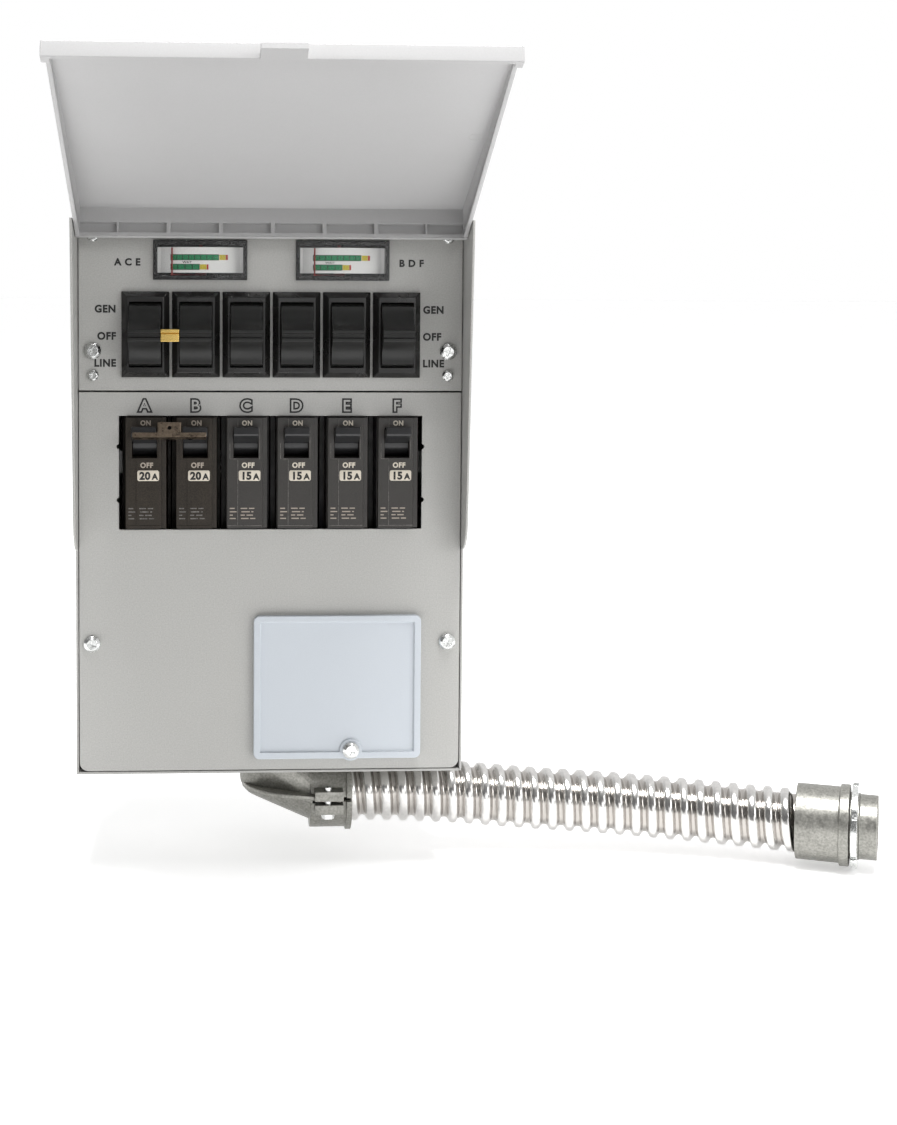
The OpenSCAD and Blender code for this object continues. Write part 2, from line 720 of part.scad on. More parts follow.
cabinet();
cabinet_side(right_screws);  // cabinet_side_right
mirror([1, 0, 0]) cabinet_side(right_screws);  // cabinet_side_left
upper_panel();
lower_cover();
lid();
hinge_pins();
inlet_cover();
inlet_cover_screw();
lower_cover_screws();
upper_panel_screws();
panel_corner_screws();
for (i = [0 : 5]) switch_housing(i);
for (i = [0 : 5]) rocker(i);
rocker_tie();
switch_terminals();
for (i = [0 : 5]) breaker_case(i);
for (i = [0 : 5]) breaker_handle(i);
handle_tie();
breaker_rail();
breaker_lugs();
meter_case(-meter_x);  // meter_case_left
meter_case(meter_x);  // meter_case_right
meter_cover(-meter_x);  // meter_cover_left
meter_cover(meter_x);  // meter_cover_right
meter_dial(-meter_x);  // meter_dial_left
meter_dial(meter_x);  // meter_dial_right
meter_needle(-meter_x);  // meter_needle_left
meter_needle(meter_x);  // meter_needle_right
meter_terminals();
neutral_bar();
ground_lug();
wires_black();
wires_red();
conduit_elbow();
elbow_locknut();
elbow_clamp_screw();
conduit();
conduit_end_fitting();
conduit_end_locknut();
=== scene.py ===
import math

import bpy
from mathutils import Euler, Matrix, Vector


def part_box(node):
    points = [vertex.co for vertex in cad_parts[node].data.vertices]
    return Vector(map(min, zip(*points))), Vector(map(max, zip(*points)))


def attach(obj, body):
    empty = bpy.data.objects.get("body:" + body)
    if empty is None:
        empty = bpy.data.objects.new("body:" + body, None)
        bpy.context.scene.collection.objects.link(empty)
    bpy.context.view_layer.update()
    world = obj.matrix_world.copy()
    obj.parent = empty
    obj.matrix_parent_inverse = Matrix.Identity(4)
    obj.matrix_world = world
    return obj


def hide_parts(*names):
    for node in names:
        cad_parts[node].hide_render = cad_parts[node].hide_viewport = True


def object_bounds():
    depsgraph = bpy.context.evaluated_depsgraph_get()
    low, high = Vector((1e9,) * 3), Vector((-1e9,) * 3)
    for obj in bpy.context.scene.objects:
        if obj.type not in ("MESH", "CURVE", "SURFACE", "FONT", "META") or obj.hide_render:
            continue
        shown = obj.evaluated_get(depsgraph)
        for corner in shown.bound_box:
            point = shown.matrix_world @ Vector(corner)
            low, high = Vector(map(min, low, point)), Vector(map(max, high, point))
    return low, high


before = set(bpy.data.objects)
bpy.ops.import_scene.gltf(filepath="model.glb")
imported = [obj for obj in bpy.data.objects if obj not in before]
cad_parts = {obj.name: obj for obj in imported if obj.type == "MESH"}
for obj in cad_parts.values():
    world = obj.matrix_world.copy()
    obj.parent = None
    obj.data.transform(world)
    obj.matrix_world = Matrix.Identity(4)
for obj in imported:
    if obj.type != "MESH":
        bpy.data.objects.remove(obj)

cad_low, cad_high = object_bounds()
MM = 0.001
LETTERS = "abcdef"  # one for each circuit, from left to right
SIDES = ("left", "right")
PITCH = 25.4      # distance between circuits, in millimetres
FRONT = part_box("upper_panel")[0].y / MM  # front face of the covers, in millimetres
SINK = 0.1        # how far a raised mark reaches into the face below it, in millimetres


# ---------- camera ----------
def make_camera():
    data = bpy.data.cameras.new("camera")
    data.lens = 58.08
    data.sensor_width = 36
    data.shift_x = 0.11
    data.shift_y = -0.16
    camera = bpy.data.objects.new("camera", data)
    bpy.context.scene.collection.objects.link(camera)
    yaw, pitch, roll = (math.radians(a) for a in (3.26, -3.19, 0.27))
    turn = Euler((math.pi / 2 + pitch, 0, -yaw)).to_matrix() @ Matrix.Rotation(roll, 3, "Z")
    camera.matrix_world = Matrix.Translation((-0.0250, -1.0042, 0.1100)) @ turn.to_4x4()
    bpy.context.scene.camera = camera


make_camera()


# ---------- materials ----------
def node(tree, kind, **settings):
    made = tree.nodes.new(kind)
    for key, value in settings.items():
        setattr(made, key, value)
    return made


def noise(tree, place, scale, detail=2.0, stretch=(1, 1, 1)):
    """Noise in object coordinates; scale is in cells per metre, stretched along the axes."""
    mapping = node(tree, "ShaderNodeMapping")
    mapping.inputs["Scale"].default_value = stretch
    tree.links.new(place.outputs["Object"], mapping.inputs["Vector"])
    made = node(tree, "ShaderNodeTexNoise")
    made.inputs["Scale"].default_value = scale
    made.inputs["Detail"].default_value = detail
    tree.links.new(mapping.outputs["Vector"], made.inputs["Vector"])
    return made.outputs["Fac"]


def spread(tree, source, low, high, start=0.3, end=0.7):
    made = node(tree, "ShaderNodeMapRange")
    for key, value in (("From Min", start), ("From Max", end), ("To Min", low), ("To Max", high)):
        made.inputs[key].default_value = value
    tree.links.new(source, made.inputs["Value"])
    return made.outputs["Result"]


def mixed(tree, share, dark, light):
    """Colour between dark and light, which are colours or sockets."""
    made = node(tree, "ShaderNodeMix", data_type="RGBA")
    tree.links.new(share, made.inputs["Factor"])
    for socket, value in ((made.inputs[6], dark), (made.inputs[7], light)):
        if isinstance(value, (tuple, list)):
            socket.default_value = (*value[:3], 1)
        else:
            tree.links.new(value, socket)
    return made.outputs[2]


def shade(color, factor):
    return tuple(min(1.0, c * factor) for c in color)


def surface(name, color, rough, metal=0.0, grain=1400, grain_depth=0.06, cloud=25,
            cloud_depth=0.05, bump=0.0, bump_scale=900, bump_height=0.05, rough_spread=0.06,
            stretch=(1, 1, 1), specular=0.5):
    """Finish with a fine grain, slow clouds of colour, uneven gloss and a shallow texture."""
    made = bpy.data.materials.new(name)
    made.use_nodes = True
    tree = made.node_tree
    shader = tree.nodes["Principled BSDF"]
    shader.inputs["Metallic"].default_value = metal
    shader.inputs["Specular IOR Level"].default_value = specular
    place = node(tree, "ShaderNodeTexCoord")
    fine = spread(tree, noise(tree, place, grain, 3, stretch), 0, 1)
    slow = spread(tree, noise(tree, place, cloud, 4), 0, 1)
    inner = mixed(tree, fine, shade(color, 1 - grain_depth), shade(color, 1 + grain_depth))
    worn = mixed(tree, fine, shade(color, 1 - grain_depth - cloud_depth),
                 shade(color, 1 + grain_depth - cloud_depth))
    tree.links.new(mixed(tree, slow, worn, inner), shader.inputs["Base Color"])
    uneven = noise(tree, place, cloud * 3.1, 5, stretch)
    tree.links.new(spread(tree, uneven, rough - rough_spread, rough + rough_spread),
                   shader.inputs["Roughness"])
    if bump:
        relief = node(tree, "ShaderNodeBump")
        relief.inputs["Strength"].default_value = bump
        relief.inputs["Distance"].default_value = bump_height * MM
        tree.links.new(noise(tree, place, bump_scale, 3, stretch), relief.inputs["Height"])
        tree.links.new(relief.outputs["Normal"], shader.inputs["Normal"])
    return made


def powder_coat(name, color):
    return surface(name, color, 0.52, grain=1500, grain_depth=0.10, cloud=14, cloud_depth=0.035,
                   bump=0.55, bump_scale=1100, bump_height=0.06)


CABINET_PAINT = powder_coat("cabinet_paint", (0.390, 0.387, 0.372))
COVER_PAINT = powder_coat("cover_paint", (0.405, 0.402, 0.386))
LID_PLASTIC = surface("lid_plastic", (0.405, 0.402, 0.402), 0.46, grain=2200, grain_depth=0.035,
                      cloud=9, cloud_depth=0.03, bump=0.3, bump_scale=2000, bump_height=0.02)
PLATE_PLASTIC = surface("plate_plastic", (0.50, 0.535, 0.575), 0.42, grain=2400, grain_depth=0.03,
                        cloud=20, cloud_depth=0.02, bump=0.3, bump_scale=2300, bump_height=0.02)
SCREW_ZINC = surface("screw_zinc", (0.74, 0.75, 0.74), 0.24, 1.0, grain=900, grain_depth=0.08,
                     cloud=300, cloud_depth=0.1, bump=0.15, bump_scale=1500, rough_spread=0.1)
SWITCH_BLACK = surface("switch_black", (0.012, 0.0115, 0.011), 0.30, grain=2500,
                       grain_depth=0.15, bump=0.25, bump_scale=2600, bump_height=0.02,
                       rough_spread=0.08, specular=0.45)
ROCKER_BLACK = surface("rocker_black", (0.011, 0.011, 0.0105), 0.38, grain=2500,
                       grain_depth=0.15, bump=0.3, bump_scale=2200, bump_height=0.02,
                       rough_spread=0.08, specular=0.35)
BREAKER_BLACK = surface("breaker_black", (0.030, 0.027, 0.024), 0.38, grain=1800,
                        grain_depth=0.25, cloud=60, cloud_depth=0.12, bump=0.4,
                        bump_scale=1500, bump_height=0.03, rough_spread=0.1)
BREAKER_BROWN = surface("breaker_brown", (0.026, 0.020, 0.014), 0.44, specular=0.3, grain=1500,
                        grain_depth=0.35, cloud=70, cloud_depth=0.2, bump=0.45,
                        bump_scale=1300, bump_height=0.03, rough_spread=0.12)
MOULD_EDGE = surface("mould_edge", (0.16, 0.15, 0.14), 0.45, grain=900, grain_depth=0.4,
                     cloud=300, cloud_depth=0.4)
HANDLE_BLACK = surface("handle_black", (0.020, 0.020, 0.021), 0.36, grain=2200,
                       grain_depth=0.2, bump=0.5, bump_scale=2600, bump_height=0.04)
TIE_BRASS = surface("tie_brass", (0.78, 0.54, 0.17), 0.24, 1.0, grain=500, grain_depth=0.1,
                    cloud=120, cloud_depth=0.08, bump=0.2, bump_scale=700, stretch=(0.15, 4, 4))
TIE_BRONZE = surface("tie_bronze", (0.30, 0.235, 0.175), 0.34, 1.0, grain=900, grain_depth=0.2,
                     cloud=160, cloud_depth=0.25, bump=0.3, bump_scale=1200, rough_spread=0.12)
RAIL_STEEL = surface("rail_steel", (0.60, 0.60, 0.59), 0.35, 1.0, grain=700, grain_depth=0.08,
                     bump=0.2, bump_scale=800, stretch=(0.2, 3, 3))
METER_BLACK = surface("meter_black", (0.014, 0.014, 0.014), 0.25, grain=2000, grain_depth=0.1,
                      bump=0.15, bump_scale=2000, bump_height=0.02)
NEEDLE_RED = surface("needle_red", (0.34, 0.03, 0.02), 0.4, grain=2600, grain_depth=0.06)
BAR_ALUMINIUM = surface("bar_aluminium", (0.70, 0.71, 0.72), 0.36, 1.0, grain=700,
                        grain_depth=0.07, bump=0.2, bump_scale=900, stretch=(0.15, 3, 3))
GROUND_GREEN = surface("ground_green", (0.09, 0.34, 0.12), 0.45, grain=1600, grain_depth=0.1)
WIRE_BLACK = surface("wire_black", (0.02, 0.02, 0.02), 0.42, grain=2000, grain_depth=0.1)
WIRE_RED = surface("wire_red", (0.50, 0.03, 0.03), 0.42, grain=2000, grain_depth=0.1)
ELBOW_CASTING = surface("elbow_casting", (0.29, 0.286, 0.262), 0.40, 0.8, grain=900,
                        grain_depth=0.22, cloud=110, cloud_depth=0.16, bump=0.6,
                        bump_scale=700, bump_height=0.09, rough_spread=0.12)
PRINT_BLACK = surface("print_black", (0.012, 0.012, 0.012), 0.5, grain=3000, grain_depth=0.2)
PRINT_CREAM = surface("print_cream", (0.62, 0.565, 0.475), 0.5, grain=3000, grain_depth=0.06)
PRINT_TAN = surface("print_tan", (0.36, 0.31, 0.26), 0.5, grain=3000, grain_depth=0.08)
PRINT_GREEN = surface("print_green", (0.012, 0.30, 0.11), 0.5, grain=3000, grain_depth=0.08)
PRINT_YELLOW = surface("print_yellow", (0.80, 0.66, 0.05), 0.5, grain=3000, grain_depth=0.06)
PRINT_RED = surface("print_red", (0.62, 0.06, 0.04), 0.5, grain=3000, grain_depth=0.06)


def clear_plastic():
    """Clear moulded window: it lets the dial through and keeps its gloss."""
    made = surface("meter_clear", (0.10, 0.10, 0.10), 0.05, grain=400, grain_depth=0.02,
                   rough_spread=0.02)
    shader = made.node_tree.nodes["Principled BSDF"]
    shader.inputs["Alpha"].default_value = 0.15
    return made


def strip_metal():
    """Bright interlocked strip, with painted shade in the grooves that follow the winding."""
    made = surface("conduit_metal", (0.68, 0.67, 0.655), 0.20, 1.0, grain=500, grain_depth=0.06,
                   cloud=150, cloud_depth=0.08, bump=0.25, bump_scale=600, rough_spread=0.07)
    tree = made.node_tree
    shader = tree.nodes["Principled BSDF"]
    groove = node(tree, "ShaderNodeAttribute", attribute_name="groove")
    bright = shader.inputs["Base Color"].links[0].from_socket
    # painted shade: the deeper a point lies in a groove, the more the bright metal turns to a
    # dark warm grey
    share = spread(tree, groove.outputs["Fac"], 0, 1, 0.2, 1)
    tree.links.new(mixed(tree, share, bright, (0.40, 0.375, 0.35)), shader.inputs["Base Color"])
    return made


def painted_glow_dial():
    """White dial with a painted glow: it gives off a little light of its own, though it is no
    lamp.
    """
    made = surface("dial_white", (0.80, 0.80, 0.77), 0.55, grain=3000, grain_depth=0.02,
                   cloud=60, cloud_depth=0.02)
    shader = made.node_tree.nodes["Principled BSDF"]
    # painted glow: the emission makes the dial brighter than the lamps alone would
    shader.inputs["Emission Color"].default_value = (1, 1, 1, 1)
    shader.inputs["Emission Strength"].default_value = 0.22
    return made


METER_CLEAR = clear_plastic()
DIAL_WHITE_PAINTED_GLOW = painted_glow_dial()
CONDUIT_METAL = strip_metal()


# ---------- shaping ----------
def only(piece):
    bpy.ops.object.select_all(action="DESELECT")
    piece.select_set(True)
    bpy.context.view_layer.objects.active = piece


def mode(name):
    bpy.ops.object.mode_set(mode=name)


def pick_edges(piece, test):
    """Opens the piece for editing, with the edges selected whose middle and direction pass."""
    only(piece)
    mode("EDIT")
    bpy.ops.mesh.select_mode(type="EDGE")
    bpy.ops.mesh.select_all(action="DESELECT")
    mode("OBJECT")
    mesh = piece.data
    for edge in mesh.edges:
        a, b = (mesh.vertices[i].co for i in edge.vertices)
        edge.select = test((a + b) / 2 / MM, (b - a).normalized())
    mode("EDIT")


def apply_place(piece):
    only(piece)
    bpy.ops.object.transform_apply(location=True, rotation=True, scale=True)
    return piece


def block(name, low, high):
    """Box between two corners, in millimetres."""
    low, high = Vector(low) * MM, Vector(high) * MM
    bpy.ops.object.select_all(action="DESELECT")
    bpy.ops.mesh.primitive_cube_add(size=1, location=(low + high) / 2)
    piece = bpy.context.object
    piece.name = piece.data.name = name
    piece.scale = high - low
    return apply_place(piece)


def centre_x(name):
    low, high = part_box(name)
    return (low.x + high.x) / 2 / MM


def joined(pieces, name):
    bpy.ops.object.select_all(action="DESELECT")
    for piece in pieces:
        piece.select_set(True)
    bpy.context.view_layer.objects.active = pieces[0]
    if len(pieces) > 1:
        bpy.ops.object.join()
    pieces[0].name = pieces[0].data.name = name
    return pieces[0]


def bevelled(piece, width, segments=2, sharp=30):
    edges = piece.modifiers.new("edges", "BEVEL")
    edges.width = width * MM
    edges.segments = segments
    edges.limit_method = "ANGLE"
    edges.angle_limit = math.radians(sharp)
    edges.use_clamp_overlap = False
    only(piece)
    bpy.ops.object.modifier_apply(modifier=edges.name)
    return piece


def finished(piece, body, material=None, smooth=35):
    """Gives a piece its finish and fixes it to the body that it moves with."""
    if material:
        piece.data.materials.clear()
        piece.data.materials.append(material)
    only(piece)
    bpy.ops.object.shade_smooth_by_angle(angle=math.radians(smooth))
    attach(piece, body)
    return piece


def refined(name, body, material, width=0.35, segments=2, sharp=30, flats=True):
    """Copy of a part with its edges rounded, shown in the part's place.

    flats merges the triangles of each flat face. Faces with many openings stay in triangles.
    """
    piece = bpy.data.objects.new(name + "_finished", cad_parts[name].data.copy())
    bpy.context.scene.collection.objects.link(piece)
    only(piece)
    bpy.ops.mesh.customdata_custom_splitnormals_clear()
    mode("EDIT")
    bpy.ops.mesh.select_all(action="SELECT")
    bpy.ops.mesh.remove_doubles(threshold=0.002 * MM)
    if flats:
        bpy.ops.mesh.dissolve_limited(angle_limit=math.radians(0.5))
    mode("OBJECT")
    bevelled(piece, width, segments, sharp)
    finished(piece, body, material)
    flat_shading = piece.modifiers.new("flat_shading", "WEIGHTED_NORMAL")
    flat_shading.keep_sharp = True
    only(piece)
    bpy.ops.object.modifier_apply(modifier=flat_shading.name)
    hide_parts(name)
    return piece


def plate(name, low, high, corner, edge=0.1):
    """Thin plate facing the front, with round corners and a soft front edge."""
    piece = block(name, low, high)
    pick_edges(piece, lambda at, along: abs(along.y) > 0.9)
    bpy.ops.mesh.bevel(offset=corner * MM, segments=6, affect="EDGES")
    mode("OBJECT")
    pick_edges(piece, lambda at, along: at.y < low[1] + 0.01 and abs(along.y) < 0.1)
    bpy.ops.mesh.bevel(offset=edge * MM, segments=2, affect="EDGES")
    mode("OBJECT")
    return piece


CAP_SHARE = 0.729  # height of a capital in the built-in letters, as a share of their size


def lettering(words, cap, at, depth=0.08, bold=0.0, align="CENTER", wide=1.0, spacing=1.0):
    """Raised words that face the front. at is the anchor of their foot line on the face, and
    bold is how far the outlines grow, as a share of the letters' size."""
    bpy.ops.object.select_all(action="DESELECT")
    bpy.ops.object.text_add()
    text = bpy.context.object
    text.data.body = words
    text.data.align_x = align
    text.data.offset = bold
    text.data.space_character = spacing
    text.data.resolution_u = 4
    scale = cap / CAP_SHARE * MM
    text.data.extrude = depth / 2 * MM / scale
    bpy.ops.object.convert(target="MESH")
    piece = bpy.context.object
    piece.scale = (scale * wide, scale, scale)
    piece.rotation_euler = (math.pi / 2, 0, 0)
    piece.location = Vector((at[0], at[1] - depth / 2, at[2])) * MM
    apply_place(piece)
    mode("EDIT")
    bpy.ops.mesh.select_all(action="SELECT")
    bpy.ops.mesh.remove_doubles(threshold=0.002 * MM)
    mode("OBJECT")
    return piece


# ---------- flexible conduit ----------
# The middle line of the conduit and its winding, in millimetres; its length is in metres.
ROUTE = [(24, -46, -162), (60, -46, -162), (100, -46, -164), (140, -48, -167),
         (180, -52, -169), (220, -59, -171), (258, -71, -172), (278, -79, -172), (298, -87, -172)]
CREST_R = 16.5
GROOVE_DEPTH = 3.2
WINDING_PITCH = 9.0
STEPS_PER_TURN = 14
WAVE_STEEPNESS = 1.7   # higher makes the sides of a crest steeper
WAVE_SHIFT = 0.3       # higher makes the crests wider than the grooves
WAVE_TOP = math.tanh(2.2)


def spline_point(points, i, u):
    a, b, c = points[max(i - 1, 0)], points[i], points[i + 1]
    d = points[min(i + 2, len(points) - 1)]
    return 0.5 * (2 * b + (c - a) * u + (2 * a - 5 * b + 4 * c - d) * u * u
                  + (3 * b - a - 3 * c + d) * u ** 3)


def even_points(route, step):
    """Points on the smooth curve through the route, an even step apart."""
    knots = [Vector(p) for p in route]
    dense = [spline_point(knots, i, k / 60) for i in range(len(knots) - 1) for k in range(60)]
    dense.append(knots[-1])
    total = sum((b - a).length for a, b in zip(dense, dense[1:]))
    count = round(total / step)
    points, walked, wanted = [dense[0]], 0.0, total / count
    for a, b in zip(dense, dense[1:]):
        length = (b - a).length
        while walked + length >= wanted * len(points) - 1e-6 and len(points) <= count:
            points.append(a.lerp(b, (wanted * len(points) - walked) / length))
        walked += length
    return points[:count + 1]


def wound_tube():
    """Tube wound from interlocked strip: a helical crest and groove around the route."""
    points = even_points(ROUTE, WINDING_PITCH / STEPS_PER_TURN)
    around = 48
    step = (points[1] - points[0]).length
    verts, faces, grooves = [], [], []
    for i, centre in enumerate(points):
        along = (points[min(i + 1, len(points) - 1)] - points[max(i - 1, 0)]).normalized()
        u = along.cross(Vector((0, 0, 1))).normalized()
        v = along.cross(u)
        for k in range(around):
            turn = 2 * math.pi * k / around
            swing = math.sin(2 * math.pi * i * step / WINDING_PITCH - turn)
            wave = math.tanh(WAVE_STEEPNESS * (WAVE_SHIFT + swing))
            deep = 0.5 - 0.5 * wave / WAVE_TOP
            radius = CREST_R - GROOVE_DEPTH * deep
            verts.append((centre + (u * math.cos(turn) + v * math.sin(turn)) * radius) * MM)
            grooves.append(deep)
    for i in range(len(points) - 1):
        for k in range(around):
            a, b = i * around + k, i * around + (k + 1) % around
            faces.append((a, b, b + around, a + around))
    last = (len(points) - 1) * around
    faces.append(tuple(reversed(range(around))))
    faces.append(tuple(range(last, last + around)))
    mesh = bpy.data.meshes.new("flexible_conduit")
    mesh.from_pydata(verts, [], faces)
    # how deep each point lies in a groove; the conduit's material paints shade in the grooves
    # from it
    shares = mesh.attributes.new("groove", "FLOAT", "POINT")
    shares.data.foreach_set("value", grooves)
    tube = bpy.data.objects.new("flexible_conduit", mesh)
    bpy.context.scene.collection.objects.link(tube)
    only(tube)
    mode("EDIT")
    bpy.ops.mesh.select_all(action="SELECT")
    bpy.ops.mesh.normals_make_consistent(inside=False)
    mode("OBJECT")
    finished(tube, "enclosure", CONDUIT_METAL, 60)
    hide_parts("conduit")


refined("conduit_end_fitting", "enclosure", ELBOW_CASTING, 0.5, 3)
refined("conduit_elbow", "enclosure", ELBOW_CASTING, 0.3, 2, flats=False)
refined("conduit_end_locknut", "enclosure", SCREW_ZINC, 0.3)


def elbow_ledge():
    """Ledge at the front of the elbow, where the two halves of the casting meet."""
    corner, tilt = 24, 5
    ledge = block("elbow_ledge", (-14, -70, -160.4), (38, -40, -158.2))
    pick_edges(ledge, lambda at, along: abs(along.z) > 0.9 and at.x < 0 and at.y < -60)
    bpy.ops.mesh.bevel(offset=corner * MM, segments=8, affect="EDGES")
    mode("OBJECT")
    bevelled(ledge, 0.4)
    ledge.rotation_euler = (0, math.radians(tilt), 0)
    ledge.location = (0.0139, 0, 0.0006)  # puts it back where it was before the tilt
    finished(apply_place(ledge), "enclosure", ELBOW_CASTING)


elbow_ledge()
refined("elbow_clamp_screw", "enclosure", SCREW_ZINC, 0.2)
wound_tube()

# ---------- cabinet, covers and lid ----------
refined("cabinet", "enclosure", CABINET_PAINT, 0.4)
for side in SIDES:
    refined("cabinet_side_" + side, "enclosure", CABINET_PAINT, 0.4)
refined("upper_panel", "enclosure", COVER_PAINT, 0.3)
refined("lower_cover", "enclosure", COVER_PAINT, 0.35)
refined("lid", "lid", LID_PLASTIC, 0.35, 2, flats=False)
refined("hinge_pins", "enclosure", SCREW_ZINC, 0.2)


def lid_gate_mark():
    """Faint ring that the mould left on the inner face of the lid."""
    open_angle = math.radians(110)
    out = Vector((0, -math.sin(open_angle), -math.cos(open_angle)))
    under = Vector((0, math.cos(open_angle), -math.sin(open_angle)))
    on_hinge = Vector((88.9, -111.6, 136.1))
    reach, inner_face = 83.6, 2.52 - 13.75  # from the hinge line, along out and under
    at = on_hinge + reach * out + inner_face * under
    bpy.ops.object.select_all(action="DESELECT")
    bpy.ops.mesh.primitive_torus_add(major_radius=3 * MM, minor_radius=0.09 * MM,
                                     major_segments=48, minor_segments=8)
    ring = bpy.context.object
    ring.name = "lid_gate_mark"
    ring.rotation_euler = under.to_track_quat("Z", "Y").to_euler()
    ring.location = at * MM
    finished(apply_place(ring), "lid", LID_PLASTIC)


lid_gate_mark()
refined("inlet_cover", "enclosure", PLATE_PLASTIC, 0.5, 3)
for name in ("inlet_cover_screw", "lower_cover_screws", "upper_panel_screws",
             "panel_corner_screws"):
    refined(name, "enclosure", SCREW_ZINC, 0.15)


# ---------- rocker switches and breakers ----------
def body_of_rocker(i):
    return "rockers_ab" if i < 2 else f"rocker_{LETTERS[i]}_body"


def body_of_handle(i):
    return "handles_ab" if i < 2 else f"handle_{LETTERS[i]}_body"


for i, letter in enumerate(LETTERS):
    refined("switch_housing_" + letter, "enclosure", SWITCH_BLACK, 0.35, 3, 20)
    refined("rocker_" + letter, body_of_rocker(i), ROCKER_BLACK, 0.3, 2, 40)
    refined("breaker_case_" + letter, "enclosure", BREAKER_BROWN if i < 2 else BREAKER_BLACK,
            0.3, flats=False)
    refined("breaker_handle_" + letter, body_of_handle(i), HANDLE_BLACK, 0.3, 2, 40)
refined("rocker_tie", "rockers_ab", TIE_BRASS, 0.35, 3)
refined("handle_tie", "handles_ab", TIE_BRONZE, 0.25)

# Marks on a breaker, in millimetres: X from the middle of its case, Z in the frame.
NOSE = -94.5             # front face of the breakers
LABEL_BOX = ((-3.6, 9.6), (7.3, 14.9))
LABEL_HEIGHT = 0.25
RIDGE_HEIGHT = 0.22
RIDGES = (((-4.2, -13), (-3.95, 20.4)), ((-4.2, 36.9), (-3.95, 41.2)),
          ((-9.2, -13.2), (8.2, -12.9)), ((-8.2, 20.6), (-4.2, 20.85)),
          ((-8.2, 20.85), (-7.9, 28.5)), ((6.7, 20.6), (6.95, 36.8)))
DASH_HEIGHT = 0.08
DASH_WIDTH = 0.55
DASH_COLUMNS = (-8.1, -2.6)
DASH_ROWS = ((-4.6, (0.0, 3.3), (4.2, 6.9)), (-6.3, (0.4, 4.6), (5.4, 6.4)),
             (-8.0, (0.0, 2.1), (3.0, 6.2)), (-9.7, (0.2, 4.0), (4.8, 7.4)))


def raised(name, x, height, low, high):
    """Block that stands on a breaker's front face, between two corners given as X and Z."""
    return block(name, (x + low[0], NOSE - height, low[1]),
                 (x + high[0], NOSE + SINK, high[1]))


def breaker_marks(i):
    """Rating plate, ON and OFF, and the raised mould lines on one breaker."""
    x = centre_x("breaker_case_" + LETTERS[i])
    low, high = LABEL_BOX
    label = plate("rating_plate_" + LETTERS[i], (x + low[0], NOSE - LABEL_HEIGHT, low[1]),
                  (x + high[0], NOSE + SINK, high[1]), corner=1.0)
    finished(label, "enclosure", PRINT_CREAM)
    size = "20" if i < 2 else "15"
    rating = joined([
        lettering(size, 3.8, (x + 0.2, NOSE - LABEL_HEIGHT, 10.4), 0.06, 0.05, spacing=1.05),
        lettering("A", 3.0, (x + 5.2, NOSE - LABEL_HEIGHT, 10.4), 0.06, 0.05)],
        "rating_" + LETTERS[i])
    finished(rating, "enclosure", PRINT_BLACK)
    words = joined([
        lettering("ON", 2.5, (x + 0.6, NOSE, 37.6), 0.1, 0.04, wide=0.92, spacing=1.12),
        lettering("OFF", 2.6, (x + 1.1, NOSE, 16.3), 0.1, 0.04, wide=0.95, spacing=1.12)],
        "on_off_" + LETTERS[i])
    finished(words, "enclosure", PRINT_TAN if i < 2 else PRINT_CREAM)
    ridges = [raised("ridge", x, RIDGE_HEIGHT, low, high) for low, high in RIDGES]
    finished(bevelled(joined(ridges, "mould_lines_" + LETTERS[i]), 0.06, 1), "enclosure",
             BREAKER_BROWN if i < 2 else MOULD_EDGE)


def fine_marks(i):
    """Rows of short dashes where a breaker carries its small data, with no words."""
    x = centre_x("breaker_case_" + LETTERS[i])
    label_x, data_x = (x + column for column in DASH_COLUMNS)
    dashes = []
    for z, *parts in DASH_ROWS:
        for start, end in parts:
            dashes.append(raised("dash", data_x, DASH_HEIGHT, (start, z), (end, z + DASH_WIDTH)))
        short = parts[0][1] * 0.75
        dashes.append(raised("dash", label_x, DASH_HEIGHT, (0, z), (short, z + DASH_WIDTH)))
    finished(joined(dashes, "data_lines_" + LETTERS[i]), "enclosure",
             MOULD_EDGE if i < 2 else PRINT_TAN)


for i in range(len(LETTERS)):
    breaker_marks(i)
    fine_marks(i)


# ---------- lettering on the covers ----------
def cover_lettering():
    for side, letters, x, words_x, align in (("left", "A C E", -72.0, -77.8, "RIGHT"),
                                             ("right", "B D F", 70.4, 76.5, "LEFT")):
        marks = [lettering(letters, 3.5, (x, FRONT, 117.6), bold=0.045, spacing=1.12)]
        for word, z in (("GEN", 94.1), ("OFF", 80.5), ("LINE", 67.0)):
            marks.append(lettering(word, 3.7, (words_x, FRONT, z), bold=0.045, align=align,
                                   wide=0.97, spacing=1.12))
        finished(joined(marks, "panel_lettering_" + side), "enclosure", PRINT_BLACK)
    for i, letter in enumerate(LETTERS.upper()):
        x = -63.5 + PITCH * i
        outline = lettering(letter, 6.0, (x, FRONT, 44.6), 0.12, 0.11)
        finished(outline, "enclosure", PRINT_BLACK).name = "letter_outline_" + LETTERS[i]
        face = lettering(letter, 6.0, (x, FRONT, 44.6), 0.5, 0.005)
        finished(face, "enclosure", COVER_PAINT).name = "letter_" + LETTERS[i]


cover_lettering()


# ---------- wattmeters ----------
DIAL_R = 30.0
DIAL_AXIS_Y = -64.5
PRINT_GAP = 0.06         # how far the printing stands off the dial
UPPER_BAND = (120.4, 123.0)
LOWER_BAND = (115.6, 118.2)
BAND_EDGE = 0.2          # how far the black ground reaches past the bands


